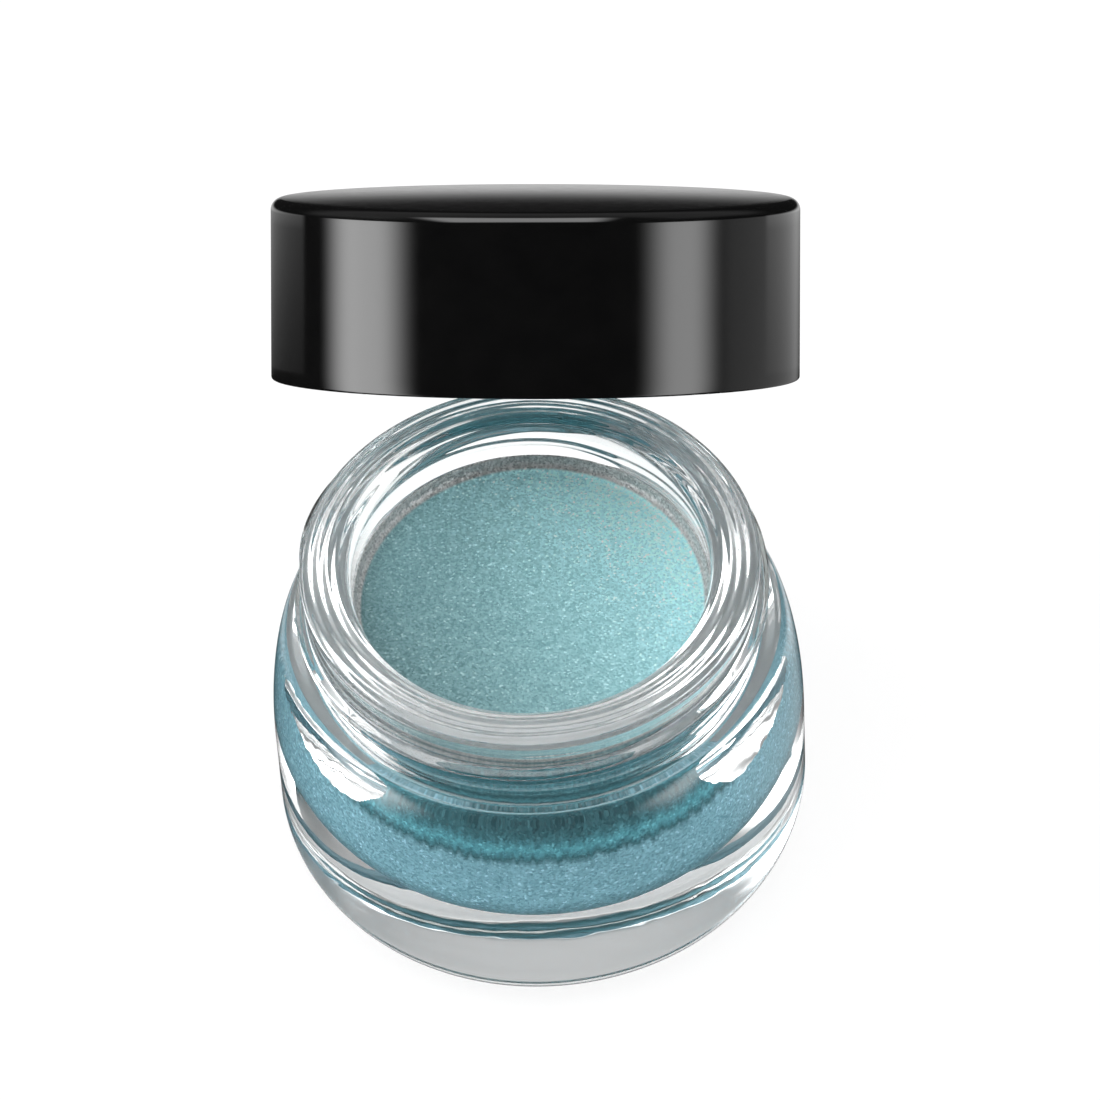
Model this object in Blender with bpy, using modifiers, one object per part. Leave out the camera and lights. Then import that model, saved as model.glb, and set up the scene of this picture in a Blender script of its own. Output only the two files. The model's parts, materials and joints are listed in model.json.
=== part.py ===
"""Small screw-neck glass pot of shimmer paint, shown open.

The pot is one thick-walled glass casting that holds a fill of cream paint. The black
cap is a smooth outer shell glued over a threaded insert, with a loose foam liner inside
the insert. The cap is unscrewed and tilted back over the pot's rear edge.

Metres, +Z up, origin at the centre of the pot's flat base.
"""
import math

import bmesh
import bpy
from mathutils import Matrix, Vector

MM = 0.001
SEGMENTS = 60
MERGE = 0.00001

# Glass pot
BODY_RADIUS = 21.5 * MM
BASE_FLAT_RADIUS = 17.2 * MM
WIDEST_HEIGHT = 11.3 * MM
SHOULDER_RADIUS = 19.1 * MM
SHOULDER_HEIGHT = 23.4 * MM
NECK_RADIUS = 18.1 * MM
POT_HEIGHT = 31.0 * MM
RIM_RADIUS = 18.35 * MM
RIM_BEAD_BOTTOM = 29.7 * MM
RIM_BEAD_FOOT = 29.3 * MM
RIM_OUTER_ROUND = 0.6 * MM
RIM_INNER_ROUND = 1.2 * MM
BORE_RADIUS = 14.3 * MM
GLASS_BASE_THICKNESS = 7.0 * MM
BORE_CORNER = 2.5 * MM

# Screw thread, shared by the neck and the cap insert
LEAD = 3.0 * MM
NECK_CREST_RADIUS = 18.95 * MM
NECK_THREAD_START = 25.1 * MM
NECK_THREAD_TURNS = 1.33
NECK_THREAD_PHASE = math.radians(60)
NECK_RIDGE_ROOT_WIDTH = 1.7 * MM
INSERT_CREST_RADIUS = 18.5 * MM
INSERT_THREAD_START = 1.9 * MM
INSERT_THREAD_TURNS = 0.75
INSERT_RIDGE_ROOT_WIDTH = 1.3 * MM
RIDGE_CREST_WIDTH = 0.7 * MM
RIDGE_EMBED = 0.35 * MM
THREAD_RUN_OUT = math.radians(24)

# Paint
PAINT_LEVEL = 25.4 * MM
FIT_GAP = 0.3 * MM

# Cap, in its own frame: origin on the skirt's end plane, +Z towards the cap's top
CAP_RADIUS = 20.65 * MM
SHELL_BORE_RADIUS = 19.9 * MM
CAP_EDGE_HEIGHT = 14.1 * MM
CAP_EDGE_ROUND = 0.9 * MM
CAP_DOME = 0.35 * MM
SHELL_ROOF_UNDERSIDE = 12.8 * MM
SHELL_RIB_INNER = 10.6 * MM
SHELL_RIB_OUTER = 12.0 * MM
SHELL_RIB_END = 11.9 * MM
INSERT_RADIUS = 19.75 * MM
INSERT_BORE_RADIUS = 19.15 * MM
INSERT_BOTTOM = 1.0 * MM
INSERT_ROOF_UNDERSIDE = 9.6 * MM
INSERT_ROOF_TOP = 10.7 * MM
GLUE_INNER_RADIUS = 9.6 * MM
GLUE_OUTER_RADIUS = 13.0 * MM
GLUE_THICKNESS = 0.6 * MM
LINER_RADIUS = 18.9 * MM
LINER_THICKNESS = 1.0 * MM

# Where the cap goes
CLOSED_SKIRT_HEIGHT = 23.0 * MM
UNSCREW_ANGLE = math.radians(335)
UNSCREW_RISE = LEAD * UNSCREW_ANGLE / math.tau
TILT_BACK = math.radians(45.6)
SWING_YAW = math.radians(6.0)
SWING_SLOPE = math.radians(-1.93)
SWING_REACH = 26.4 * MM
SWING_HEIGHT = 27.0 * MM

OBJECT_NAME = "paint_jar"


def clear_scene():
    for item in list(bpy.data.objects):
        bpy.data.objects.remove(item)


def make_material(name, colour, roughness, metallic=0.0, transmission=0.0):
    material = bpy.data.materials.new(name)
    material.use_nodes = True
    shader = material.node_tree.nodes["Principled BSDF"]
    shader.inputs["Base Color"].default_value = (*colour, 1.0)
    shader.inputs["Roughness"].default_value = roughness
    shader.inputs["Metallic"].default_value = metallic
    shader.inputs["Transmission Weight"].default_value = transmission
    return material


def arc(centre_radius, centre_height, radius, start, end, steps, rise=None):
    """Points of a circular arc, or an elliptical one when its rise is given (degrees)."""
    rise = radius if rise is None else rise
    points = []
    for step in range(steps + 1):
        angle = math.radians(start + (end - start) * step / steps)
        points.append((
            centre_radius + radius * math.cos(angle),
            centre_height + rise * math.sin(angle),
        ))
    return points


def turned_object(name, profile, collection, material, closed=False):
    """A turned solid: the (radius, height) profile spun round +Z by a Screw modifier."""
    mesh = bpy.data.meshes.new(name)
    edges = [(index, index + 1) for index in range(len(profile) - 1)]
    if closed:
        edges.append((len(profile) - 1, 0))
    mesh.from_pydata([(radius, 0.0, height) for radius, height in profile], edges, [])
    turned = bpy.data.objects.new(name, mesh)
    collection.objects.link(turned)
    screw = turned.modifiers.new("Turn", "SCREW")
    screw.axis = "Z"
    screw.angle = math.tau
    screw.steps = SEGMENTS
    screw.render_steps = SEGMENTS
    screw.use_merge_vertices = True
    screw.merge_threshold = MERGE
    screw.use_smooth_shade = True
    mesh.materials.append(material)
    return turned


def smooth_round(turned):
    """Bakes the modifiers and shades the round surface smooth with sharp edges kept."""
    bpy.context.view_layer.update()
    graph = bpy.context.evaluated_depsgraph_get()
    mesh = bpy.data.meshes.new_from_object(turned.evaluated_get(graph))
    turned.modifiers.clear()
    turned.data = mesh
    mesh.shade_smooth()
    mesh.set_sharp_from_angle(angle=math.radians(35))


def thread_ridge(name, root_radius, crest_radius, start_height, turns, phase,
                 root_width, collection):
    """One helical ridge whose height fades out at both ends."""
    steps = round(SEGMENTS * turns)
    full_angle = math.tau * turns
    bm = bmesh.new()
    previous = None
    for step in range(steps + 1):
        angle = full_angle * step / steps
        from_end = min(angle, full_angle - angle)
        fade = min(1.0, from_end / THREAD_RUN_OUT)
        fade = 0.12 + 0.88 * math.sin(fade * math.pi / 2)
        middle = start_height + LEAD * angle / math.tau
        crest = root_radius + (crest_radius - root_radius) * fade
        section = []
        for radius, offset in (
            (root_radius, -root_width / 2),
            (crest, -RIDGE_CREST_WIDTH / 2),
            (crest, RIDGE_CREST_WIDTH / 2),
            (root_radius, root_width / 2),
        ):
            section.append(bm.verts.new((
                radius * math.cos(phase + angle),
                radius * math.sin(phase + angle),
                middle + offset,
            )))
        if previous is None:
            bm.faces.new(section)
        else:
            for side in range(4):
                after = (side + 1) % 4
                bm.faces.new((previous[side], previous[after], section[after], section[side]))
        previous = section
    bm.faces.new(list(reversed(previous)))
    bmesh.ops.recalc_face_normals(bm, faces=bm.faces)
    mesh = bpy.data.meshes.new(name)
    bm.to_mesh(mesh)
    bm.free()
    ridge = bpy.data.objects.new(name, mesh)
    ridge.hide_render = True
    ridge.display_type = "WIRE"
    collection.objects.link(ridge)
    return ridge


def join_ridge(body, ridge):
    union = body.modifiers.new("Thread", "BOOLEAN")
    union.operation = "UNION"
    union.solver = "EXACT"
    union.object = ridge


def build_pot(parts, cutters):
    glass = make_material("clear_glass", (0.93, 0.96, 0.96), 0.03, transmission=1.0)
    corner = BODY_RADIUS - BASE_FLAT_RADIUS
    shoulder_drop = BODY_RADIUS - SHOULDER_RADIUS
    shoulder_rise = SHOULDER_HEIGHT - WIDEST_HEIGHT
    profile = [(0.0, GLASS_BASE_THICKNESS)]
    profile += arc(BORE_RADIUS - BORE_CORNER, GLASS_BASE_THICKNESS + BORE_CORNER,
                   BORE_CORNER, -90, 0, 4)
    profile += arc(BORE_RADIUS + RIM_INNER_ROUND, POT_HEIGHT - RIM_INNER_ROUND,
                   RIM_INNER_ROUND, 180, 90, 4)
    profile += arc(RIM_RADIUS - RIM_OUTER_ROUND, POT_HEIGHT - RIM_OUTER_ROUND,
                   RIM_OUTER_ROUND, 90, 0, 3)
    profile += [(RIM_RADIUS, RIM_BEAD_BOTTOM), (NECK_RADIUS, RIM_BEAD_FOOT)]
    profile += [(NECK_RADIUS, SHOULDER_HEIGHT + 0.3 * MM)]
    profile += arc(SHOULDER_RADIUS, WIDEST_HEIGHT, shoulder_drop, 90, 0, 7, shoulder_rise)
    profile += arc(BASE_FLAT_RADIUS, corner, corner, 0, -90, 5)
    profile += [(0.0, 0.0)]
    pot = turned_object("glass_jar", profile, parts, glass)
    ridge = thread_ridge("neck_thread", NECK_RADIUS - RIDGE_EMBED, NECK_CREST_RADIUS,
                         NECK_THREAD_START, NECK_THREAD_TURNS, NECK_THREAD_PHASE,
                         NECK_RIDGE_ROOT_WIDTH, cutters)
    join_ridge(pot, ridge)
    smooth_round(pot)


def build_paint(parts):
    cream = make_material("shimmer_paint", (0.24, 0.50, 0.54), 0.45, metallic=0.3)
    radius = BORE_RADIUS - FIT_GAP
    floor = GLASS_BASE_THICKNESS + FIT_GAP
    profile = [(0.0, PAINT_LEVEL), (radius, PAINT_LEVEL)]
    profile += arc(radius - BORE_CORNER, floor + BORE_CORNER, BORE_CORNER, 0, -90, 4)
    profile += [(0.0, floor)]
    smooth_round(turned_object("paint_fill", profile, parts, cream))


def swing_frame(collection):
    """Empties on the swing axis and on the cap's own axis, in the tilted pose."""
    pivot = Vector((
        SWING_REACH * math.sin(SWING_YAW),
        SWING_REACH * math.cos(SWING_YAW),
        SWING_HEIGHT,
    ))
    axis = Vector((
        math.cos(SWING_YAW) * math.cos(SWING_SLOPE),
        -math.sin(SWING_YAW) * math.cos(SWING_SLOPE),
        math.sin(SWING_SLOPE),
    ))
    hinge = bpy.data.objects.new("swing_axis", None)
    collection.objects.link(hinge)
    hinge.location = pivot
    hinge.rotation_euler = Matrix.Rotation(-TILT_BACK, 4, axis).to_euler()
    cap_axis = bpy.data.objects.new("cap_axis", None)
    collection.objects.link(cap_axis)
    cap_axis.parent = hinge
    cap_axis.location = Vector((0.0, 0.0, CLOSED_SKIRT_HEIGHT + UNSCREW_RISE)) - pivot
    return cap_axis


def build_shell(parts, cap_axis):
    gloss_black = make_material("gloss_black_plastic", (0.006, 0.006, 0.006), 0.12)
    profile = [(0.0, CAP_EDGE_HEIGHT + CAP_DOME)]
    dome_edge = CAP_RADIUS - CAP_EDGE_ROUND
    for step in range(1, 5):
        share = step / 5
        profile.append((dome_edge * share, CAP_EDGE_HEIGHT + CAP_DOME * (1 - share ** 2)))
    profile += arc(dome_edge, CAP_EDGE_HEIGHT - CAP_EDGE_ROUND, CAP_EDGE_ROUND, 90, 0, 4)
    profile += [
        (CAP_RADIUS, 0.15 * MM),
        (CAP_RADIUS - 0.15 * MM, 0.0),
        (SHELL_BORE_RADIUS, 0.0),
        (SHELL_BORE_RADIUS, SHELL_ROOF_UNDERSIDE),
        (SHELL_RIB_OUTER, SHELL_ROOF_UNDERSIDE),
        (SHELL_RIB_OUTER, SHELL_RIB_END),
        (SHELL_RIB_INNER, SHELL_RIB_END),
        (SHELL_RIB_INNER, SHELL_ROOF_UNDERSIDE),
        (0.0, SHELL_ROOF_UNDERSIDE),
    ]
    shell = turned_object("cap_shell", profile, parts, gloss_black)
    smooth_round(shell)
    shell.parent = cap_axis


def build_insert(parts, cutters, cap_axis):
    black = make_material("matte_black_plastic", (0.012, 0.012, 0.012), 0.42)
    chamfer = 0.4 * MM
    profile = [
        (0.0, INSERT_ROOF_TOP),
        (INSERT_RADIUS - chamfer, INSERT_ROOF_TOP),
        (INSERT_RADIUS, INSERT_ROOF_TOP - chamfer),
        (INSERT_RADIUS, INSERT_BOTTOM),
        (INSERT_BORE_RADIUS, INSERT_BOTTOM),
        (INSERT_BORE_RADIUS, INSERT_ROOF_UNDERSIDE),
        (0.0, INSERT_ROOF_UNDERSIDE),
    ]
    insert = turned_object("cap_insert", profile, parts, black)
    start_height = INSERT_THREAD_START
    closed_height = CLOSED_SKIRT_HEIGHT + start_height
    # screwed down, the insert's ridge lies half a lead under the neck's ridge
    turns_up_neck = (closed_height + LEAD / 2 - NECK_THREAD_START) / LEAD
    closed_phase = NECK_THREAD_PHASE + math.tau * turns_up_neck
    ridge = thread_ridge("insert_thread", INSERT_BORE_RADIUS + RIDGE_EMBED,
                         INSERT_CREST_RADIUS, start_height, INSERT_THREAD_TURNS,
                         closed_phase + UNSCREW_ANGLE, INSERT_RIDGE_ROOT_WIDTH, cutters)
    join_ridge(insert, ridge)
    smooth_round(insert)
    insert.parent = cap_axis


def build_liner(parts, cap_axis):
    foam = make_material("white_foam", (0.80, 0.80, 0.78), 0.8)
    underside = POT_HEIGHT + FIT_GAP - CLOSED_SKIRT_HEIGHT - UNSCREW_RISE
    profile = [
        (0.0, underside + LINER_THICKNESS),
        (LINER_RADIUS, underside + LINER_THICKNESS),
        (LINER_RADIUS, underside),
        (0.0, underside),
    ]
    liner = turned_object("cap_liner", profile, parts, foam)
    smooth_round(liner)
    liner.parent = cap_axis


def build_glue(parts, cap_axis):
    glue = make_material("clear_glue", (0.75, 0.72, 0.62), 0.35)
    underside = INSERT_ROOF_TOP + FIT_GAP
    top = underside + GLUE_THICKNESS
    profile = [
        (GLUE_INNER_RADIUS, top),
        (GLUE_OUTER_RADIUS, top),
        (GLUE_OUTER_RADIUS, underside),
        (GLUE_INNER_RADIUS, underside),
    ]
    ring = turned_object("glue_ring", profile, parts, glue, closed=True)
    smooth_round(ring)
    ring.parent = cap_axis


def main():
    clear_scene()
    parts = bpy.data.collections.new(OBJECT_NAME)
    cutters = bpy.data.collections.new("cutters")
    bpy.context.scene.collection.children.link(parts)
    bpy.context.scene.collection.children.link(cutters)
    build_pot(parts, cutters)
    build_paint(parts)
    cap_axis = swing_frame(parts)
    build_shell(parts, cap_axis)
    build_insert(parts, cutters, cap_axis)
    build_liner(parts, cap_axis)
    build_glue(parts, cap_axis)


main()
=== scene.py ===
import json
import math

import bmesh
import bpy
from mathutils import Matrix, Vector, noise


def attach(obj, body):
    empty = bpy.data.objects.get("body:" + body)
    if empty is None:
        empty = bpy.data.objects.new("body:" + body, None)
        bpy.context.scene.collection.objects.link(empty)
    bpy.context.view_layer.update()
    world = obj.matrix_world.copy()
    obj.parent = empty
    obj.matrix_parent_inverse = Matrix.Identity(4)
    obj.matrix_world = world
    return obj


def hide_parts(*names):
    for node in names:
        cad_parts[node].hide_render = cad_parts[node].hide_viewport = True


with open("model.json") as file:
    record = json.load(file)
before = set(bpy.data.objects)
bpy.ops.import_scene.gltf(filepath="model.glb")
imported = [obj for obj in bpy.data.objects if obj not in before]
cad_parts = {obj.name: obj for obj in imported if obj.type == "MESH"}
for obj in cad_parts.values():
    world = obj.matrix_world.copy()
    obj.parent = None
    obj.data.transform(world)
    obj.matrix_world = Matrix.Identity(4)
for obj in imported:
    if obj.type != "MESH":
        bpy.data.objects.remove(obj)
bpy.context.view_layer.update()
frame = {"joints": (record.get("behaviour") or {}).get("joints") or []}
scene = bpy.context.scene
MM = 0.001

# ---------------------------------------------------------------- viewpoint
# A long lens looks down on the open jar from the front. The picture leans a little, so
# that the cap held over the mouth stands upright in it.
LOOK_DOWN = math.radians(52.46)
STAND_OFF = 588.05 * MM
AIM_POINT = Vector((0.0, 0.0, 14.7 * MM))
AIM_OFFSET = Vector((-12.17, -135.01, -7271.6)).normalized()
LEAN = math.radians(3.73)

back = Vector((0.0, -math.cos(LOOK_DOWN), math.sin(LOOK_DOWN)))
level_right = Vector((1.0, 0.0, 0.0))
level_up = back.cross(level_right)
right = level_right * math.cos(LEAN) - level_up * math.sin(LEAN)
up = level_right * math.sin(LEAN) + level_up * math.cos(LEAN)
axes = Matrix((right, up, back)).transposed()
aim = AIM_OFFSET.rotation_difference(Vector((0.0, 0.0, -1.0))).to_matrix()
camera_data = bpy.data.cameras.new("camera")
camera_data.lens = 237.98
camera_data.sensor_width = 36.0
camera_data.clip_start = 0.01
camera_data.clip_end = 20.0
camera = bpy.data.objects.new("camera", camera_data)
scene.collection.objects.link(camera)
camera.matrix_world = Matrix.Translation(AIM_POINT + back * STAND_OFF) @ (axes @ aim).to_4x4()
scene.camera = camera
scene.view_settings.view_transform = "Standard"
scene.cycles.max_bounces = 28
scene.cycles.glossy_bounces = 24
scene.cycles.transmission_bounces = 24


# ---------------------------------------------------------------- studio light and floor
# Soft boxes left, right and overhead in a dim room, with a low card and a wide dim backdrop
# behind. The table is white paper.
def nodes_of(tree):
    tree.nodes.clear()
    return tree.nodes, tree.links


def math_node(tree, operation, first, second=None):
    node = tree.nodes.new("ShaderNodeMath")
    node.operation = operation
    for socket, value in zip(node.inputs, (first, second)):
        if value is None:
            continue
        if isinstance(value, (int, float)):
            socket.default_value = value
        else:
            tree.links.new(value, socket)
    return node.outputs["Value"]


def soft_box_group():
    """Mask of one soft-edged rectangle of light seen in a given direction."""
    group = bpy.data.node_groups.new("soft_box", "ShaderNodeTree")
    for name in ("Direction", "Centre", "Across", "Along"):
        group.interface.new_socket(name, in_out="INPUT", socket_type="NodeSocketVector")
    for name in ("Half Width", "Half Length", "Feather"):
        group.interface.new_socket(name, in_out="INPUT", socket_type="NodeSocketFloat")
    group.interface.new_socket("Mask", in_out="OUTPUT", socket_type="NodeSocketFloat")
    given = group.nodes.new("NodeGroupInput")
    result = group.nodes.new("NodeGroupOutput")
    parts = {}
    for name in ("Centre", "Across", "Along"):
        dot = group.nodes.new("ShaderNodeVectorMath")
        dot.operation = "DOT_PRODUCT"
        group.links.new(given.outputs["Direction"], dot.inputs[0])
        group.links.new(given.outputs[name], dot.inputs[1])
        parts[name] = dot.outputs["Value"]
    masks = []
    sideways = math_node(group, "ARCTAN2", parts["Across"], parts["Centre"])
    lengthways = math_node(group, "ARCSINE", parts["Along"])
    for angle, half in ((sideways, "Half Width"), (lengthways, "Half Length")):
        size = math_node(group, "ABSOLUTE", angle)
        fade = group.nodes.new("ShaderNodeMapRange")
        fade.interpolation_type = "SMOOTHERSTEP"
        group.links.new(size, fade.inputs["Value"])
        group.links.new(math_node(group, "SUBTRACT", given.outputs[half],
                                  given.outputs["Feather"]), fade.inputs["From Min"])
        group.links.new(math_node(group, "ADD", given.outputs[half],
                                  given.outputs["Feather"]), fade.inputs["From Max"])
        fade.inputs["To Min"].default_value = 1.0
        fade.inputs["To Max"].default_value = 0.0
        masks.append(fade.outputs["Result"])
    group.links.new(math_node(group, "MULTIPLY", *masks), result.inputs["Mask"])
    return group


joints = {joint["name"]: joint for joint in frame["joints"]}
CAP_AXIS = Vector(joints["cap_turn"]["axis"])
to_viewer = (camera.location - Vector((0.005, 0.012, 0.05))).normalized()
cap_front = (to_viewer - CAP_AXIS * to_viewer.dot(CAP_AXIS)).normalized()
cap_right = CAP_AXIS.cross(cap_front)
if cap_right.x < 0:
    cap_right.negate()

world = bpy.data.worlds.new("studio")
scene.world = world
world.use_nodes = True
tree = world.node_tree
nodes, links = nodes_of(tree)
direction = nodes.new("ShaderNodeTexCoord").outputs["Generated"]
soft_box = soft_box_group()
ray = nodes.new("ShaderNodeLightPath")
passing = math_node(tree, "SUBTRACT", 1.0, ray.outputs["Is Transmission Ray"])
mirrored = math_node(tree, "MULTIPLY", ray.outputs["Is Glossy Ray"], passing)


def soft_light(centre, across, along, half_width, half_length, feather, brightness):
    """Light from one soft box, with its sizes in degrees."""
    box = nodes.new("ShaderNodeGroup")
    box.node_tree = soft_box
    links.new(direction, box.inputs["Direction"])
    for name, vector in (("Centre", centre), ("Across", across), ("Along", along)):
        box.inputs[name].default_value = vector
    sizes = (("Half Width", half_width), ("Half Length", half_length), ("Feather", feather))
    for name, degrees in sizes:
        box.inputs[name].default_value = math.radians(degrees)
    return math_node(tree, "MULTIPLY", box.outputs["Mask"], brightness)


# angle round the cap from its front, half width, half length, feather, brightness
SIDE_BOXES = (
    (-79.0, 17.0, 38.0, 13.0, 8.6),
    (67.0, 13.0, 38.0, 12.0, 6.2),
    (125.0, 38.0, 30.0, 12.0, 0.55),
)
total = None
for angle, *box_sizes in SIDE_BOXES:
    turn = math.radians(angle)
    light = soft_light(cap_front * math.cos(turn) + cap_right * math.sin(turn),
                       cap_right * math.cos(turn) - cap_front * math.sin(turn),
                       CAP_AXIS, *box_sizes)
    total = light if total is None else math_node(tree, "ADD", total, light)
# In a mirror the side boxes end level with the cap's top, which stays black from the side.
above_cap = nodes.new("ShaderNodeVectorMath")
above_cap.operation = "DOT_PRODUCT"
links.new(direction, above_cap.inputs[0])
above_cap.inputs[1].default_value = CAP_AXIS
flagged_off = nodes.new("ShaderNodeMapRange")
flagged_off.interpolation_type = "SMOOTHSTEP"
links.new(above_cap.outputs["Value"], flagged_off.inputs["Value"])
flagged_off.inputs["From Min"].default_value = -0.01
flagged_off.inputs["From Max"].default_value = 0.05
hidden_share = math_node(tree, "MULTIPLY", flagged_off.outputs["Result"], mirrored)
total = math_node(tree, "MULTIPLY", total, math_node(tree, "SUBTRACT", 1.0, hidden_share))
overhead = soft_light((-0.10, -0.08, 0.99), (0.99, 0.0, 0.10), (0.0, 0.995, 0.08), 34, 20, 8, 5.5)
rear_card = soft_light(-cap_front, -cap_right, CAP_AXIS, 60, 3.2, 2.6, 0.75)
backdrop = soft_light((0.0, 0.78, 0.62), (1.0, 0.0, 0.0), (0.0, -0.62, 0.78), 70, 24, 14, 0.35)
for light in (overhead, rear_card, backdrop):
    total = math_node(tree, "ADD", total, light)
unmirrored = math_node(tree, "SUBTRACT", 1.0, mirrored)
fill = math_node(tree, "MULTIPLY_ADD", unmirrored, 0.4)
fill.node.inputs[2].default_value = 0.015
studio_light = math_node(tree, "ADD", total, fill)
lit = nodes.new("ShaderNodeBackground")
links.new(studio_light, lit.inputs["Strength"])
plain = nodes.new("ShaderNodeBackground")
plain.inputs["Color"].default_value = (1.0, 1.0, 1.0, 1.0)
choose = nodes.new("ShaderNodeMixShader")
links.new(ray.outputs["Is Camera Ray"], choose.inputs["Fac"])
links.new(lit.outputs["Background"], choose.inputs[1])
links.new(plain.outputs["Background"], choose.inputs[2])
links.new(choose.outputs["Shader"], nodes.new("ShaderNodeOutputWorld").inputs["Surface"])

floor_mesh = bpy.data.meshes.new("floor")
bm = bmesh.new()
bmesh.ops.create_circle(bm, cap_ends=True, segments=96, radius=3.0)
bmesh.ops.translate(bm, verts=bm.verts, vec=(0.0, 0.0, -0.02 * MM))
bm.to_mesh(floor_mesh)
bm.free()
floor = bpy.data.objects.new("floor", floor_mesh)
scene.collection.objects.link(floor)
floor.visible_glossy = False
paper = bpy.data.materials.new("white_paper")
paper.use_nodes = True
paper_shader = paper.node_tree.nodes["Principled BSDF"]
paper_shader.inputs["Base Color"].default_value = (0.62, 0.62, 0.62, 1.0)
paper_shader.inputs["Roughness"].default_value = 0.9
glow = paper.node_tree.nodes.new("ShaderNodeEmission")
glow.inputs["Strength"].default_value = 1.03
blend = paper.node_tree.nodes.new("ShaderNodeMixShader")
seen = paper.node_tree.nodes.new("ShaderNodeLightPath").outputs["Is Camera Ray"]
share = math_node(paper.node_tree, "MULTIPLY", seen, 0.85)
paper.node_tree.links.new(share, blend.inputs["Fac"])
paper.node_tree.links.new(paper_shader.outputs["BSDF"], blend.inputs[1])
paper.node_tree.links.new(glow.outputs["Emission"], blend.inputs[2])
paper.node_tree.links.new(blend.outputs["Shader"],
                          paper.node_tree.nodes["Material Output"].inputs["Surface"])
floor_mesh.materials.append(paper)


# ---------------------------------------------------------------- glass jar
# One thick casting of clear glass: a low round body, a heavy base and a screw neck. It is
# pressed and blown in a mould, so its walls wander by a few hundredths of a millimetre.
SEGMENTS = 300
BODY_RADIUS = 21.5 * MM
BASE_FLAT_RADIUS = 17.2 * MM
WIDEST_HEIGHT = 11.3 * MM
SHOULDER_RADIUS = 19.1 * MM
SHOULDER_HEIGHT = 23.4 * MM
NECK_RADIUS = 18.1 * MM
NECK_FILLET = 0.8 * MM
POT_HEIGHT = 31.0 * MM
RIM_RADIUS = 18.35 * MM
LIP_CREST_RADIUS = 16.3 * MM
LIP_FOOT = 29.2 * MM
LIP_EDGE = 30.2 * MM
RIPPLE = 0.03 * MM
NECK_RIPPLE_STEP = 0.17 * MM
LIP_RIPPLE_STEP = 0.12 * MM
WALL_WANDER = 0.02 * MM
BORE_RADIUS = 14.3 * MM
CAVITY_FLOOR = 7.0 * MM
CAVITY_CORNER = 2.5 * MM
THREAD_LEAD = 3.0 * MM
THREAD_CREST = 18.95 * MM
THREAD_START = 25.1 * MM
THREAD_TURNS = 1.33
THREAD_PHASE = math.radians(60)


def arc(centre_radius, centre_height, radius, start, end, steps, rise=None):
    """Points of a circular or elliptical arc, in degrees from the outward direction."""
    rise = radius if rise is None else rise
    points = []
    for step in range(steps + 1):
        angle = math.radians(start + (end - start) * step / steps)
        points.append((centre_radius + radius * math.cos(angle),
                       centre_height + rise * math.sin(angle)))
    return points


def straight(start, end, spacing):
    """Points along a straight run, both ends left out."""
    length = math.dist(start, end)
    count = max(1, round(length / spacing))
    return [(start[0] + (end[0] - start[0]) * step / count,
             start[1] + (end[1] - start[1]) * step / count) for step in range(1, count)]


def turned(profile, segments=SEGMENTS, closed=False):
    """A bmesh of the (radius, height) profile spun a full turn about the axis."""
    bm = bmesh.new()
    points = [bm.verts.new((radius, 0.0, height)) for radius, height in profile]
    for first, second in zip(points, points[1:]):
        bm.edges.new((first, second))
    if closed:
        bm.edges.new((points[-1], points[0]))
    bmesh.ops.spin(bm, geom=bm.verts[:] + bm.edges[:], cent=(0, 0, 0), axis=(0, 0, 1),
                   angle=math.tau, steps=segments, use_merge=True)
    bmesh.ops.remove_doubles(bm, verts=bm.verts, dist=0.2e-6)
    bmesh.ops.recalc_face_normals(bm, faces=bm.faces)
    return bm


def new_material(name):
    """A material with its node tree and its main shader."""
    material = bpy.data.materials.new(name)
    material.use_nodes = True
    return material, material.node_tree, material.node_tree.nodes["Principled BSDF"]


def finish_piece(name, bm, material, body, node, place=None, sharp=None):
    """Puts the mesh in place, shades it, and stands it in for its CAD node."""
    if place is not None:
        bmesh.ops.transform(bm, matrix=place, verts=bm.verts)
    mesh = bpy.data.meshes.new(name)
    bm.to_mesh(mesh)
    bm.free()
    mesh.shade_smooth()
    if sharp is not None:
        mesh.set_sharp_from_angle(angle=math.radians(sharp))
    mesh.materials.append(material)
    piece = bpy.data.objects.new(name, mesh)
    scene.collection.objects.link(piece)
    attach(piece, body)
    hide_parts(node)
    return piece


def noise_of(tree, scale, detail, stretch=(1.0, 1.0, 1.0)):
    """A noise value from 0 to 1 that is fixed to the piece."""
    sized = tree.nodes.new("ShaderNodeVectorMath")
    sized.operation = "MULTIPLY"
    tree.links.new(tree.nodes.new("ShaderNodeTexCoord").outputs["Object"], sized.inputs[0])
    sized.inputs[1].default_value = stretch
    grain = tree.nodes.new("ShaderNodeTexNoise")
    grain.inputs["Scale"].default_value = scale
    grain.inputs["Detail"].default_value = detail
    tree.links.new(sized.outputs["Vector"], grain.inputs["Vector"])
    return grain.outputs["Fac"]


def bumped(tree, height, strength, distance):
    """A surface normal roughened by the height."""
    bump = tree.nodes.new("ShaderNodeBump")
    bump.inputs["Strength"].default_value = strength
    bump.inputs["Distance"].default_value = distance
    tree.links.new(height, bump.inputs["Height"])
    return bump.outputs["Normal"]


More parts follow.
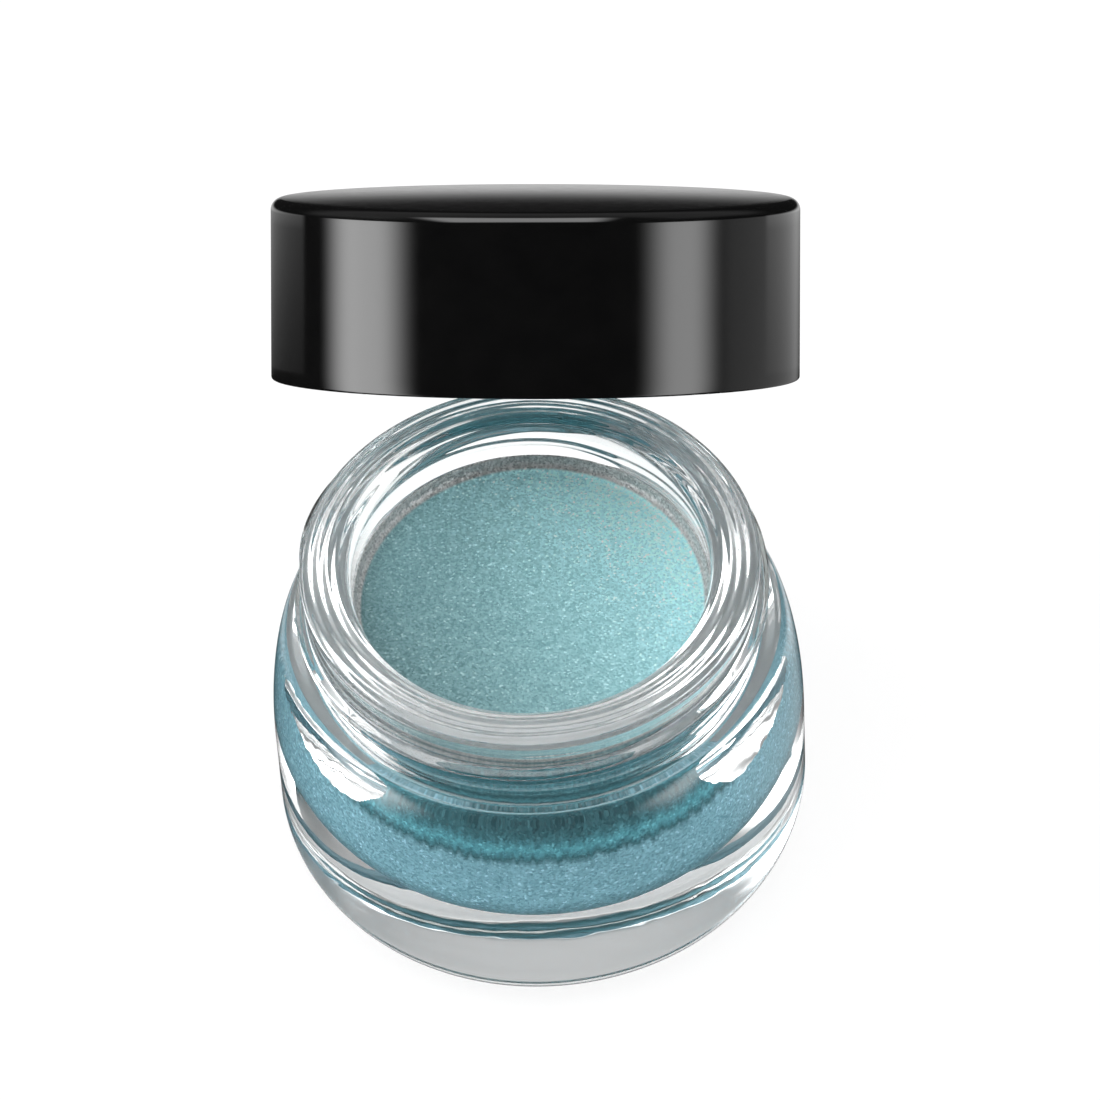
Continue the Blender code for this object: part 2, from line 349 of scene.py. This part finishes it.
def ridge_height(angle, height, start, turns, phase, half_crest, half_root, run_out):
    """How much of the thread's full height stands at this place, from 0 to 1."""
    share = 0.0
    turned_by = (angle - phase) % math.tau
    while turned_by <= math.tau * turns:
        middle = start + THREAD_LEAD * turned_by / math.tau
        off = (abs(height - middle) - half_crest) / (half_root - half_crest)
        flank = 0.5 + 0.5 * math.cos(math.pi * min(1.0, max(0.0, off)))
        ends = min(1.0, min(turned_by, math.tau * turns - turned_by) / run_out)
        share = max(share, flank * math.sin(ends * math.pi / 2))
        turned_by += math.tau
    return share


jar_corner = BODY_RADIUS - BASE_FLAT_RADIUS
jar_profile = [(0.0, CAVITY_FLOOR)]
jar_profile += straight((0.0, CAVITY_FLOOR), (BORE_RADIUS - CAVITY_CORNER, CAVITY_FLOOR), 1.2 * MM)
jar_profile += arc(BORE_RADIUS - CAVITY_CORNER, CAVITY_FLOOR + CAVITY_CORNER,
                   CAVITY_CORNER, -90, 0, 16)
jar_profile += straight((BORE_RADIUS, CAVITY_FLOOR + CAVITY_CORNER),
                        (BORE_RADIUS, LIP_FOOT), 0.8 * MM)
jar_profile += arc(LIP_CREST_RADIUS, LIP_FOOT, LIP_CREST_RADIUS - BORE_RADIUS, 180, 90, 34,
                   POT_HEIGHT - LIP_FOOT)
jar_profile += arc(LIP_CREST_RADIUS, LIP_EDGE, RIM_RADIUS - LIP_CREST_RADIUS, 87, 0, 34,
                   POT_HEIGHT - LIP_EDGE)
jar_profile += straight((RIM_RADIUS, LIP_EDGE), (RIM_RADIUS, 29.7 * MM), 0.13 * MM)
jar_profile += [(RIM_RADIUS - 0.04 * MM, 29.65 * MM), (RIM_RADIUS - 0.125 * MM, 29.5 * MM),
                (NECK_RADIUS + 0.04 * MM, 29.36 * MM), (NECK_RADIUS, 29.2 * MM)]
jar_profile += straight((NECK_RADIUS, 29.2 * MM),
                        (NECK_RADIUS, SHOULDER_HEIGHT + NECK_FILLET), 0.13 * MM)
jar_profile += arc(NECK_RADIUS + NECK_FILLET, SHOULDER_HEIGHT + NECK_FILLET,
                   NECK_FILLET, 180, 262, 8)
jar_profile += arc(SHOULDER_RADIUS, WIDEST_HEIGHT, BODY_RADIUS - SHOULDER_RADIUS, 86, 0, 36,
                   SHOULDER_HEIGHT - WIDEST_HEIGHT)
jar_profile += straight((BODY_RADIUS, WIDEST_HEIGHT), (BODY_RADIUS, jar_corner), 0.8 * MM)
jar_profile += arc(BASE_FLAT_RADIUS, jar_corner, jar_corner, 0, -90, 24)
jar_profile += straight((BASE_FLAT_RADIUS, 0.0), (0.0, 0.0), 1.2 * MM)
jar_profile += [(0.0, 0.0)]
bm = turned(jar_profile)
for vert in bm.verts:
    radius = math.hypot(vert.co.x, vert.co.y)
    if radius < 1 * MM:
        continue
    angle = math.atan2(vert.co.y, vert.co.x)
    grown = 0.0
    outside = radius > NECK_RADIUS - 0.01 * MM
    if outside and SHOULDER_HEIGHT + 0.3 * MM < vert.co.z < POT_HEIGHT - 0.3 * MM:
        grown = (THREAD_CREST - radius) * ridge_height(
            angle, vert.co.z, THREAD_START, THREAD_TURNS, THREAD_PHASE,
            0.3 * MM, 0.95 * MM, math.radians(24))
    if vert.co.z > 0.5 * MM:
        place = Vector((math.cos(angle) * 1.6, math.sin(angle) * 1.6, vert.co.z / (6 * MM)))
        grown += WALL_WANDER * (noise.noise(place) - 0.5)
    if outside and vert.co.z > SHOULDER_HEIGHT + 1.0 * MM:
        grown += RIPPLE * math.sin(vert.co.z / NECK_RIPPLE_STEP + 2 * noise.noise(place)) - RIPPLE
    elif vert.co.z > LIP_FOOT and radius > BORE_RADIUS + 0.3 * MM:
        vert.co.z += RIPPLE * math.sin(radius / LIP_RIPPLE_STEP + 2 * noise.noise(place)) - RIPPLE
    vert.co.x += grown * math.cos(angle)
    vert.co.y += grown * math.sin(angle)
glass, tree, glass_shader = new_material("clear_glass")
glass_shader.inputs["Base Color"].default_value = (0.975, 0.99, 0.99, 1.0)
glass_shader.inputs["Roughness"].default_value = 0.0
glass_shader.inputs["Transmission Weight"].default_value = 1.0
glass_shader.inputs["IOR"].default_value = 1.52
glass_wave = noise_of(tree, 260.0, 2.0)
tree.links.new(bumped(tree, glass_wave, 0.12, 0.1 * MM),
               glass_shader.inputs["Normal"])
finish_piece("jar_glass", bm, glass, "jar", "glass_jar")


# ---------------------------------------------------------------- paint
# A thick cream paint full of fine mica, poured warm into the jar. It wets the glass low down
# and at the front and back, and leaves a thin grey film where it crept up the wall.
PAINT_LEVEL = 25.4 * MM
PAINT_RADIUS = BORE_RADIUS - 0.05 * MM
PAINT_FLOOR = CAVITY_FLOOR + 0.05 * MM
FILM_TOP = PAINT_LEVEL + 1.3 * MM
WETTED_HEIGHT = 14.0 * MM
WET_GROWTH = 0.07 * MM
FRONT_RISE = 8.5 * MM
BACK_RISE = 11.0 * MM
# degrees from the front where the wetted front ends and the wetted back begins, and their blends
FRONT_END, FRONT_BLEND = 62, 44
BACK_START, BACK_BLEND = 142, 24
EDGE_STREAK = 0.22 * MM
EDGE_DRIFT = 1.0 * MM
EDGE_FADE = 0.34 * MM


def ranged(tree, value, low, high, start=0.3, end=0.7):
    """The value spread from its own start and end to the low and high given."""
    spread = tree.nodes.new("ShaderNodeMapRange")
    tree.links.new(value, spread.inputs["Value"])
    for name, number in (("From Min", start), ("From Max", end), ("To Min", low), ("To Max", high)):
        spread.inputs[name].default_value = number
    return spread.outputs["Result"]


def tinted(tree, value, low, high):
    """A colour between the low and high ones, picked by the value."""
    mix = tree.nodes.new("ShaderNodeMix")
    mix.data_type = "RGBA"
    tree.links.new(value, mix.inputs["Factor"])
    mix.inputs["A"].default_value = (*low, 1.0)
    mix.inputs["B"].default_value = (*high, 1.0)
    return mix.outputs["Result"]


paint_profile = [(0.0, PAINT_LEVEL - 0.05 * MM)]
paint_profile += straight((0.0, PAINT_LEVEL - 0.05 * MM), (13.2 * MM, PAINT_LEVEL), 0.6 * MM)
paint_profile += arc(13.2 * MM, PAINT_LEVEL + 0.9 * MM, 0.9 * MM, -90, 0, 10)
paint_profile += [(14.15 * MM, FILM_TOP - 0.1 * MM), (14.2 * MM, FILM_TOP),
                  (PAINT_RADIUS, FILM_TOP)]
paint_profile += straight((PAINT_RADIUS, FILM_TOP),
                          (PAINT_RADIUS, PAINT_FLOOR + CAVITY_CORNER), 0.16 * MM)
paint_profile += arc(PAINT_RADIUS - CAVITY_CORNER, PAINT_FLOOR + CAVITY_CORNER,
                     CAVITY_CORNER, 0, -90, 16)
paint_profile += straight((PAINT_RADIUS - CAVITY_CORNER, PAINT_FLOOR), (0.0, PAINT_FLOOR), 1.2 * MM)
paint_profile += [(0.0, PAINT_FLOOR)]
bm = turned(paint_profile, 360)
corner_radius = PAINT_RADIUS - CAVITY_CORNER
corner_height = PAINT_FLOOR + CAVITY_CORNER
for vert in bm.verts:
    radius = math.hypot(vert.co.x, vert.co.y)
    if radius < corner_radius or vert.co.z > PAINT_LEVEL - 0.5 * MM:
        continue
    angle = math.atan2(vert.co.y, vert.co.x)
    from_front = abs((math.degrees(angle) + 90 + 180) % 360 - 180)
    front = min(1.0, max(0.0, (FRONT_END - from_front) / FRONT_BLEND))
    behind = min(1.0, max(0.0, (from_front - BACK_START) / BACK_BLEND))
    streak = Vector((math.cos(angle) * 26, math.sin(angle) * 26, 0.0))
    drift = Vector((math.cos(angle) * 2, math.sin(angle) * 2, 5.0))
    edge = WETTED_HEIGHT + FRONT_RISE * front * front * (3 - 2 * front) + BACK_RISE * behind
    edge += EDGE_STREAK * noise.noise(streak) + EDGE_DRIFT * noise.noise(drift)
    grown = WET_GROWTH * min(1.0, max(0.0, (edge - vert.co.z) / EDGE_FADE))
    fall = min(0.0, (vert.co.z - corner_height) / CAVITY_CORNER)
    outward = math.sqrt(max(0.0, 1 - fall * fall))
    vert.co.x += grown * outward * math.cos(angle)
    vert.co.y += grown * outward * math.sin(angle)
    vert.co.z += grown * fall
paint, tree, paint_shader = new_material("shimmer_paint")
place = tree.nodes.new("ShaderNodeTexCoord").outputs["Object"]
flakes = tree.nodes.new("ShaderNodeTexVoronoi")
flakes.inputs["Scale"].default_value = 6400.0
tree.links.new(place, flakes.inputs["Vector"])
flake_value = tree.nodes.new("ShaderNodeSeparateColor")
tree.links.new(flakes.outputs["Color"], flake_value.inputs["Color"])
# Mica flakes run from dark to pale teal; the palest few are partly pale mica and partly a painted
# glint.
flake_ramp = tree.nodes.new("ShaderNodeValToRGB")
flake_ramp.color_ramp.elements[0].color = (0.155, 0.33, 0.36, 1.0)
flake_ramp.color_ramp.elements[1].color = (0.335, 0.59, 0.63, 1.0)
glint = flake_ramp.color_ramp.elements.new(0.93)
glint.color = (0.335, 0.59, 0.63, 1.0)
flake_ramp.color_ramp.elements[2].color = (0.56, 0.84, 0.88, 1.0)
tree.links.new(flake_value.outputs["Red"], flake_ramp.inputs["Fac"])
split = tree.nodes.new("ShaderNodeSeparateXYZ")
tree.links.new(place, split.inputs["Vector"])
# Painted light: the top of the paint is painted paler towards the back and the right, standing in
# for the light falling there.
light_from_right = math_node(tree, "MULTIPLY_ADD", split.outputs["X"], 46.0)
light_from_right.node.inputs[2].default_value = 0.03
light_from_back = math_node(tree, "MULTIPLY", split.outputs["Y"], 38.0)
painted_light_gradient = math_node(tree, "EXPONENT", math_node(tree, "ADD", light_from_right, light_from_back))
top_share = ranged(tree, split.outputs["Z"], 0.0, 1.0, 25.0 * MM, 25.2 * MM)
top_light_scale = math_node(tree, "MULTIPLY_ADD", math_node(tree, "SUBTRACT", painted_light_gradient, 1.0), top_share)
top_light_scale.node.inputs[2].default_value = 1.0
# The flake colour scaled by the painted light on the top, held below white.
lit_top_colour = tree.nodes.new("ShaderNodeVectorMath")
lit_top_colour.operation = "SCALE"
tree.links.new(flake_ramp.outputs["Color"], lit_top_colour.inputs[0])
tree.links.new(top_light_scale, lit_top_colour.inputs["Scale"])
limited = tree.nodes.new("ShaderNodeVectorMath")
limited.operation = "MINIMUM"
tree.links.new(lit_top_colour.outputs["Vector"], limited.inputs[0])
limited.inputs[1].default_value = (0.95, 0.95, 0.95)
# Painted shade: the side is painted in dark and light bands by height, darker in its upper part
# where the neck shades it.
side_shade_bands = tree.nodes.new("ShaderNodeValToRGB")
SIDE_SHADE_BANDS = ((0.0, 0.80), (0.06, 0.16), (0.14, 0.42), (0.22, 0.20), (0.34, 0.10), (0.44, 0.26),
              (0.60, 0.12), (0.80, 0.30), (1.0, 0.22))
while len(side_shade_bands.color_ramp.elements) < len(SIDE_SHADE_BANDS):
    side_shade_bands.color_ramp.elements.new(0.5)
for stop, (position, tone) in zip(side_shade_bands.color_ramp.elements, SIDE_SHADE_BANDS):
    stop.position = position
    stop.color = (tone, min(0.9, tone * 1.9), min(1.0, tone * 2.1), 1.0)
band_wobble = noise_of(tree, 1.0, 1.0, (2600.0, 2600.0, 90.0))
band_height = math_node(tree, "MULTIPLY_ADD", ranged(tree, band_wobble, -0.28 * MM, 0.28 * MM), 1.0)
tree.links.new(split.outputs["Z"], band_height.node.inputs[2])
tree.links.new(ranged(tree, band_height, 0.0, 1.0, 13.6 * MM, 25.0 * MM), side_shade_bands.inputs["Fac"])
side_share = math_node(tree, "SUBTRACT", 1.0, top_share)
# The painted shade bands multiply the colour of the side.
shade = tree.nodes.new("ShaderNodeMix")
shade.data_type = "RGBA"
shade.blend_type = "MULTIPLY"
tree.links.new(side_share, shade.inputs["Factor"])
tree.links.new(limited.outputs["Vector"], shade.inputs["A"])
tree.links.new(side_shade_bands.outputs["Color"], shade.inputs["B"])
# The thin film above the surface has dried grey.
film = tree.nodes.new("ShaderNodeMix")
film.data_type = "RGBA"
film_share = ranged(tree, split.outputs["Z"], 0.0, 1.0, 25.5 * MM, 25.62 * MM)
tree.links.new(film_share, film.inputs["Factor"])
tree.links.new(shade.outputs["Result"], film.inputs["A"])
tree.links.new(tinted(tree, flake_value.outputs["Green"], (0.26, 0.27, 0.27), (0.62, 0.62, 0.62)),
               film.inputs["B"])
tree.links.new(film.outputs["Result"], paint_shader.inputs["Base Color"])
scatter = tree.nodes.new("ShaderNodeVectorMath")
scatter.operation = "MULTIPLY_ADD"
tree.links.new(flakes.outputs["Color"], scatter.inputs[0])
scatter.inputs[1].default_value = (0.4, 0.4, 0.4)
scatter.inputs[2].default_value = (-0.2, -0.2, -0.2)
tilted = tree.nodes.new("ShaderNodeVectorMath")
tilted.operation = "ADD"
tree.links.new(scatter.outputs["Vector"], tilted.inputs[0])
tree.links.new(tree.nodes.new("ShaderNodeNewGeometry").outputs["Normal"], tilted.inputs[1])
facing = tree.nodes.new("ShaderNodeVectorMath")
facing.operation = "NORMALIZE"
tree.links.new(tilted.outputs["Vector"], facing.inputs[0])
tree.links.new(facing.outputs["Vector"], paint_shader.inputs["Normal"])
paint_shader.inputs["Metallic"].default_value = 0.4
paint_shader.inputs["Roughness"].default_value = 0.38
finish_piece("paint", bm, paint, "jar", "paint_fill")


# ---------------------------------------------------------------- cap shell
# The cap's outer shell: one glossy black moulding with a straight wall, a rounded edge and
# a barely domed top.
CAP_RADIUS = 20.65 * MM
CAP_EDGE_HEIGHT = 14.1 * MM
CAP_EDGE_ROUND = 0.9 * MM
CAP_DOME = 0.35 * MM
SKIRT_ROUND = 0.2 * MM
SHELL_BORE_RADIUS = 19.9 * MM
SHELL_ROOF_UNDERSIDE = 12.8 * MM
GLUE_RIB_OUTER = 12.0 * MM
GLUE_RIB_INNER = 10.6 * MM
GLUE_RIB_BOTTOM = 11.9 * MM
CLOSED_SKIRT_HEIGHT = 23.0 * MM
UNSCREWED_RISE = 2.7917 * MM
swing = joints["cap_swing"]
pivot = Vector(swing["pos_m"])
tilt_back = Matrix.Rotation(-math.radians(swing["range_deg"][1]), 4, Vector(swing["axis"]))
cap_place = (Matrix.Translation(pivot) @ tilt_back @ Matrix.Translation(
    Vector((0.0, 0.0, CLOSED_SKIRT_HEIGHT + UNSCREWED_RISE)) - pivot))

dome_edge = CAP_RADIUS - CAP_EDGE_ROUND
shell_profile = [(dome_edge * step / 20, CAP_EDGE_HEIGHT + CAP_DOME * (1 - (step / 20) ** 2))
                 for step in range(20)]
shell_profile += arc(dome_edge, CAP_EDGE_HEIGHT - CAP_EDGE_ROUND, CAP_EDGE_ROUND, 88, 0, 16)
shell_profile += straight((CAP_RADIUS, CAP_EDGE_HEIGHT - CAP_EDGE_ROUND),
                          (CAP_RADIUS, SKIRT_ROUND), 1.0 * MM)
shell_profile += arc(CAP_RADIUS - SKIRT_ROUND, SKIRT_ROUND, SKIRT_ROUND, 0, -90, 5)
shell_profile += [(SHELL_BORE_RADIUS, 0.0), (SHELL_BORE_RADIUS, SHELL_ROOF_UNDERSIDE),
                  (GLUE_RIB_OUTER, SHELL_ROOF_UNDERSIDE), (GLUE_RIB_OUTER, GLUE_RIB_BOTTOM),
                  (GLUE_RIB_INNER, GLUE_RIB_BOTTOM), (GLUE_RIB_INNER, SHELL_ROOF_UNDERSIDE),
                  (0.0, SHELL_ROOF_UNDERSIDE)]
bm = turned(shell_profile)
gloss, tree, gloss_shader = new_material("gloss_black")
gloss_haze = noise_of(tree, 420.0, 6.0)
gloss_rubs = noise_of(tree, 900.0, 3.0, (1.0, 1.0, 0.12))
tree.links.new(tinted(tree, gloss_haze, (0.0012, 0.0012, 0.0013), (0.003, 0.003, 0.003)),
               gloss_shader.inputs["Base Color"])
tree.links.new(ranged(tree, gloss_rubs, 0.068, 0.094), gloss_shader.inputs["Roughness"])
finish_piece("cap_outer_shell", bm, gloss, "cap", "cap_shell", cap_place, 40)


# ---------------------------------------------------------------- cap insert
# The threaded cup glued inside the shell, moulded in dull black plastic.
INSERT_RADIUS = 19.75 * MM
INSERT_BORE_RADIUS = 19.15 * MM
INSERT_CREST_RADIUS = 18.5 * MM
INSERT_BOTTOM = 1.0 * MM
INSERT_ROOF_UNDERSIDE = 9.6 * MM
INSERT_ROOF_TOP = 10.7 * MM
INSERT_THREAD_START = 1.9 * MM
INSERT_THREAD_TURNS = 0.75
INSERT_CHAMFER = 0.4 * MM
INSERT_LEAD_IN = 0.15 * MM
THREADED_HEIGHT = 6.0 * MM
insert_phase = THREAD_PHASE + math.radians(335) + math.tau * (
    CLOSED_SKIRT_HEIGHT + INSERT_THREAD_START + THREAD_LEAD / 2 - THREAD_START) / THREAD_LEAD

insert_profile = [(0.0, INSERT_ROOF_TOP),
                  (INSERT_RADIUS - INSERT_CHAMFER, INSERT_ROOF_TOP),
                  (INSERT_RADIUS, INSERT_ROOF_TOP - INSERT_CHAMFER),
                  (INSERT_RADIUS, INSERT_BOTTOM),
                  (INSERT_BORE_RADIUS + INSERT_LEAD_IN, INSERT_BOTTOM),
                  (INSERT_BORE_RADIUS, INSERT_BOTTOM + INSERT_LEAD_IN)]
insert_profile += straight((INSERT_BORE_RADIUS, INSERT_BOTTOM + INSERT_LEAD_IN),
                           (INSERT_BORE_RADIUS, THREADED_HEIGHT), 0.14 * MM)
insert_profile += [(INSERT_BORE_RADIUS, THREADED_HEIGHT),
                   (INSERT_BORE_RADIUS, INSERT_ROOF_UNDERSIDE), (0.0, INSERT_ROOF_UNDERSIDE)]
bm = turned(insert_profile, 240)
for vert in bm.verts:
    radius = math.hypot(vert.co.x, vert.co.y)
    if abs(radius - INSERT_BORE_RADIUS) > 0.01 * MM or vert.co.z > THREADED_HEIGHT + 0.5 * MM:
        continue
    angle = math.atan2(vert.co.y, vert.co.x)
    inward = (INSERT_BORE_RADIUS - INSERT_CREST_RADIUS) * ridge_height(
        angle, vert.co.z, INSERT_THREAD_START, INSERT_THREAD_TURNS, insert_phase,
        0.25 * MM, 0.75 * MM, math.radians(24))
    vert.co.x -= inward * math.cos(angle)
    vert.co.y -= inward * math.sin(angle)
dull, tree, dull_shader = new_material("matte_black")
dull_grain = noise_of(tree, 3200.0, 4.0)
dull_patches = noise_of(tree, 260.0, 3.0)
tree.links.new(tinted(tree, dull_patches, (0.009, 0.009, 0.009), (0.017, 0.017, 0.017)),
               dull_shader.inputs["Base Color"])
tree.links.new(ranged(tree, dull_grain, 0.34, 0.52), dull_shader.inputs["Roughness"])
tree.links.new(bumped(tree, dull_grain, 0.25, 0.03 * MM), dull_shader.inputs["Normal"])
finish_piece("cap_thread_insert", bm, dull, "cap", "cap_insert",
             cap_place, 40)


# ---------------------------------------------------------------- liner
# A loose disc of fine white foam that seals on the jar's rim.
LINER_RADIUS = 18.9 * MM
LINER_UNDERSIDE = 5.51 * MM
LINER_TOP = LINER_UNDERSIDE + 1.0 * MM
LINER_EDGE = 0.15 * MM
RIM_PRINT = 0.12 * MM
liner_profile = [(0.0, LINER_TOP), (LINER_RADIUS - LINER_EDGE, LINER_TOP),
                 (LINER_RADIUS, LINER_TOP - LINER_EDGE),
                 (LINER_RADIUS, LINER_UNDERSIDE + LINER_EDGE),
                 (LINER_RADIUS - LINER_EDGE, LINER_UNDERSIDE), (18.2 * MM, LINER_UNDERSIDE),
                 (17.8 * MM, LINER_UNDERSIDE + RIM_PRINT),
                 (15.6 * MM, LINER_UNDERSIDE + RIM_PRINT),
                 (15.0 * MM, LINER_UNDERSIDE), (0.0, LINER_UNDERSIDE)]
bm = turned(liner_profile, 160)
foam, tree, foam_shader = new_material("white_foam")
foam_cells = tree.nodes.new("ShaderNodeTexVoronoi")
foam_cells.inputs["Scale"].default_value = 2800.0
tree.links.new(tree.nodes.new("ShaderNodeTexCoord").outputs["Object"],
               foam_cells.inputs["Vector"])
foam_depth = foam_cells.outputs["Distance"]
foam_tone = ranged(tree, foam_depth, 0.0, 1.0, 0.1, 0.7)
tree.links.new(tinted(tree, foam_tone, (0.84, 0.84, 0.82), (0.68, 0.68, 0.65)),
               foam_shader.inputs["Base Color"])
tree.links.new(bumped(tree, foam_depth, 0.5, 0.06 * MM), foam_shader.inputs["Normal"])
foam_shader.inputs["Roughness"].default_value = 0.8
finish_piece("cap_liner_disc", bm, foam, "liner", "cap_liner", cap_place, 40)


# ---------------------------------------------------------------- glue
# A ring of hot-melt glue between the shell's roof and the insert.
glue_profile = arc(11.3 * MM, 11.3 * MM, 1.6 * MM, 0, 345, 23, 0.28 * MM)
bm = turned(glue_profile, 120, closed=True)
melt, tree, melt_shader = new_material("hot_melt")
melt_lumps = noise_of(tree, 700.0, 3.0)
tree.links.new(tinted(tree, melt_lumps, (0.66, 0.60, 0.46), (0.80, 0.77, 0.68)),
               melt_shader.inputs["Base Color"])
tree.links.new(ranged(tree, melt_lumps, 0.25, 0.45), melt_shader.inputs["Roughness"])
tree.links.new(bumped(tree, melt_lumps, 0.4, 0.2 * MM), melt_shader.inputs["Normal"])
finish_piece("glue_bead", bm, melt, "glue", "glue_ring", cap_place)
